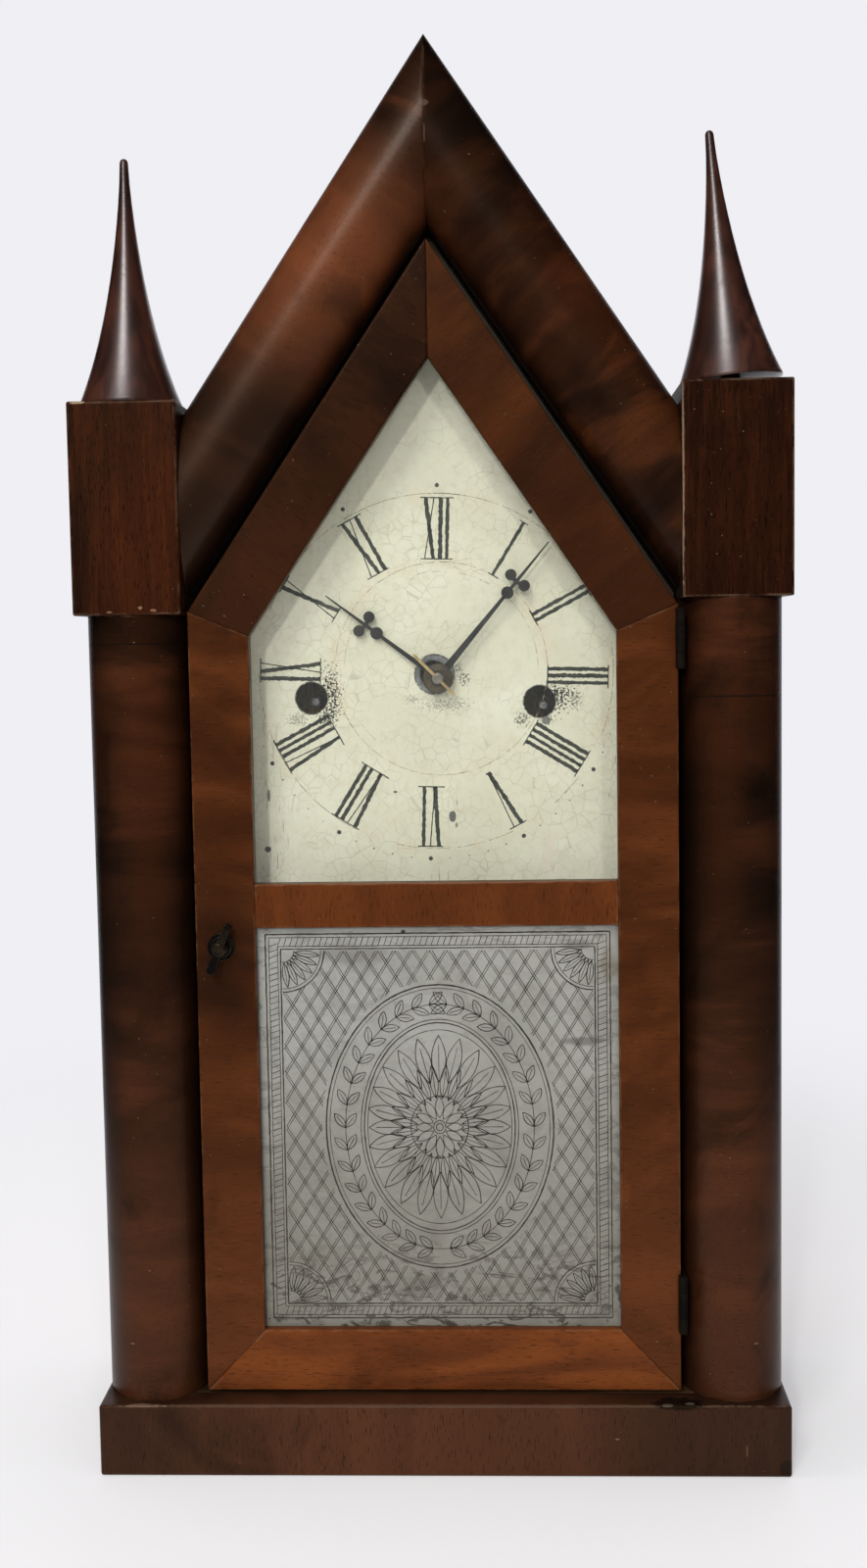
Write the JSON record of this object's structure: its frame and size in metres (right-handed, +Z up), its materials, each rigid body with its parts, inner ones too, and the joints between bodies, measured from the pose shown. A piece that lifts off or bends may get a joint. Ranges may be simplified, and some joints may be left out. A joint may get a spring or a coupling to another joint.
{
  "type": "steeple clock",
  "caption": "Spring-driven shelf clock in a pointed wooden case with columns and turned finials, glazed door, painted dial, striking movement and gong.",
  "frame": {"origin": "centre of the bounding box at its bottom: middle of the footprint, on the shelf", "axes": "+X to the right seen from the front, -Y towards the front, +Z up to the gable's apex"},
  "size_m": [0.25, 0.105, 0.508],
  "materials": {
    "veneer_dark": "satin, old shellac over cross-cut mahogany veneer",
    "turned_wood": "semi-gloss stained turning",
    "veneer_door": "satin, old shellac over mahogany veneer",
    "stained_sides": "satin, stained softwood",
    "pine": "bare, aged",
    "dial_paint": "old crackled oil paint",
    "clear_glass": "polished",
    "frosted_glass": "frosted, dark engraved lines",
    "brass": "aged rolled sheet",
    "steel": "aged bright steel",
    "blued_steel": "blued nearly black",
    "dark_iron": "dark bronze-brown"
  },
  "bodies": {
    "case": {"base_boards": "veneer_dark", "bottom_board": "pine", "side_boards": "stained_sides", "roof_boards": "stained_sides", "back_board": "pine", "front_frame": "pine", "column_left": "veneer_dark", "column_right": "veneer_dark", "block_left": "veneer_dark", "block_right": "veneer_dark", "finial_left": "turned_wood", "finial_right": "turned_wood", "gable_moulding_left": "veneer_dark", "gable_moulding_right": "veneer_dark", "dial_cleats": "pine", "dial": "dial_paint", "dial_pins": "steel", "gong_coil": "steel", "gong_stand": "dark_iron", "case_hinge_leaves": "brass", "back_plate": "brass", "front_plate": "brass", "plate_pillars": "brass", "movement_feet": "brass", "time_mainspring": "steel", "strike_mainspring": "steel"},
    "door": {"door_stile_left": "veneer_door", "door_stile_right": "veneer_door", "door_rafter_left": "veneer_door", "door_rafter_right": "veneer_door", "door_bottom_rail": "veneer_door", "door_mid_rail": "veneer_door", "dial_glass": "clear_glass", "tablet_glass": "frosted_glass", "glazing_strips": "stained_sides", "door_hinge_leaves": "brass", "latch_plate": "dark_iron"},
    "latch": {"latch_turn": "dark_iron", "latch_tongue": "dark_iron"},
    "minute_train": {"centre_arbor": "brass", "minute_hand": "blued_steel", "hand_pin": "brass"},
    "hour_train": {"hour_wheel": "brass", "hour_hand": "blued_steel"},
    "minute_wheel": {"minute_wheel": "brass"},
    "time_great": {"time_great_wheel": "brass"},
    "time_winding": {"time_winding_arbor": "steel"},
    "third": {"third_wheel": "brass"},
    "escape": {"escape_wheel": "brass"},
    "pendulum": {"pendulum_rod": "steel", "pendulum_bob": "brass"},
    "verge": {"verge": "steel"},
    "strike_great": {"strike_great_wheel": "brass"},
    "strike_winding": {"strike_winding_arbor": "steel"},
    "pin_train": {"pin_wheel": "brass"},
    "warning": {"warning_wheel": "brass"},
    "fly": {"fly": "brass"},
    "count": {"count_wheel": "brass"},
    "hammer": {"strike_hammer": "steel"},
    "count_lever": {"count_lever": "steel"}
  },
  "joints": [
    {"name": "door_swing", "type": "hinge", "parent": "case", "child": "door", "pos_m": [0.0866, -0.0448, 0.17], "axis": [0, 0, 1], "range_deg": [0, 100]},
    {"name": "latch_turn", "type": "hinge", "parent": "door", "child": "latch", "pos_m": [-0.0768, -0.043, 0.191], "axis": [0, 1, 0], "range_deg": [-21.5, 68.5]},
    {"name": "minute_spin", "type": "hinge", "parent": "case", "child": "minute_train", "pos_m": [0.0014, 0.0139, 0.28508], "axis": [0, 1, 0], "continuous": true},
    {"name": "hour_spin", "type": "hinge", "parent": "case", "child": "hour_train", "pos_m": [0.0014, -0.0057, 0.28508], "axis": [0, 1, 0], "continuous": true},
    {"name": "minute_wheel_spin", "type": "hinge", "parent": "case", "child": "minute_wheel", "pos_m": [-0.00899, -0.0057, 0.27908], "axis": [0, 1, 0], "continuous": true},
    {"name": "time_great_spin", "type": "hinge", "parent": "case", "child": "time_great", "pos_m": [0.0394, 0.0139, 0.27468], "axis": [0, 1, 0], "continuous": true},
    {"name": "time_winding_spin", "type": "hinge", "parent": "time_great", "child": "time_winding", "pos_m": [0.0394, 0.0139, 0.27468], "axis": [0, 1, 0], "continuous": true},
    {"name": "third_spin", "type": "hinge", "parent": "case", "child": "third", "pos_m": [0.01139, 0.0139, 0.30468], "axis": [0, 1, 0], "continuous": true},
    {"name": "escape_spin", "type": "hinge", "parent": "case", "child": "escape", "pos_m": [0.01842, 0.0139, 0.32125], "axis": [0, 1, 0], "continuous": true},
    {"name": "pendulum_swing", "type": "hinge", "parent": "case", "child": "pendulum", "pos_m": [0.01842, -0.0146, 0.33905], "axis": [0, 1, 0], "range_deg": [-4, 4]},
    {"name": "verge_rock", "type": "hinge", "parent": "case", "child": "verge", "pos_m": [0.01842, 0.0139, 0.33905], "axis": [0, 1, 0], "range_deg": [-4, 4]},
    {"name": "pin_wheel_spin", "type": "hinge", "parent": "case", "child": "pin_train", "pos_m": [-0.03274, 0.0139, 0.31495], "axis": [0, 1, 0], "continuous": true},
    {"name": "strike_great_spin", "type": "hinge", "parent": "case", "child": "strike_great", "pos_m": [-0.0436, 0.0139, 0.27708], "axis": [0, 1, 0], "continuous": true},
    {"name": "strike_winding_spin", "type": "hinge", "parent": "strike_great", "child": "strike_winding", "pos_m": [-0.0436, 0.0139, 0.27708], "axis": [0, 1, 0], "continuous": true},
    {"name": "warning_spin", "type": "hinge", "parent": "case", "child": "warning", "pos_m": [-0.04134, 0.0139, 0.3352], "axis": [0, 1, 0], "continuous": true},
    {"name": "fly_spin", "type": "hinge", "parent": "case", "child": "fly", "pos_m": [-0.02502, 0.0139, 0.34281], "axis": [0, 1, 0], "continuous": true},
    {"name": "count_spin", "type": "hinge", "parent": "case", "child": "count", "pos_m": [-0.0436, 0.0139, 0.27708], "axis": [0, 1, 0], "continuous": true},
    {"name": "hammer_lift", "type": "hinge", "parent": "case", "child": "hammer", "pos_m": [-0.0026, 0.0139, 0.24908], "axis": [0, 1, 0], "range_deg": [0, 8], "stiffness_Nm_per_rad": 0.05},
    {"name": "count_lever_lift", "type": "hinge", "parent": "case", "child": "count_lever", "pos_m": [-0.07694, 0.0139, 0.29633], "axis": [0, 1, 0], "range_deg": [-8, 0]}
  ],
  "couplings": [
    {"joint": "hour_spin", "follows": "minute_spin", "ratio": 0.083333},
    {"joint": "minute_wheel_spin", "follows": "minute_spin", "ratio": -0.33333},
    {"joint": "time_great_spin", "follows": "minute_spin", "ratio": -0.16667},
    {"joint": "third_spin", "follows": "minute_spin", "ratio": -10},
    {"joint": "escape_spin", "follows": "minute_spin", "ratio": 90},
    {"joint": "verge_rock", "follows": "pendulum_swing", "ratio": 1},
    {"joint": "strike_great_spin", "follows": "pin_wheel_spin", "ratio": -0.16667},
    {"joint": "warning_spin", "follows": "pin_wheel_spin", "ratio": -10},
    {"joint": "fly_spin", "follows": "pin_wheel_spin", "ratio": 90},
    {"joint": "count_spin", "follows": "pin_wheel_spin", "ratio": -0.10256}
  ]
}
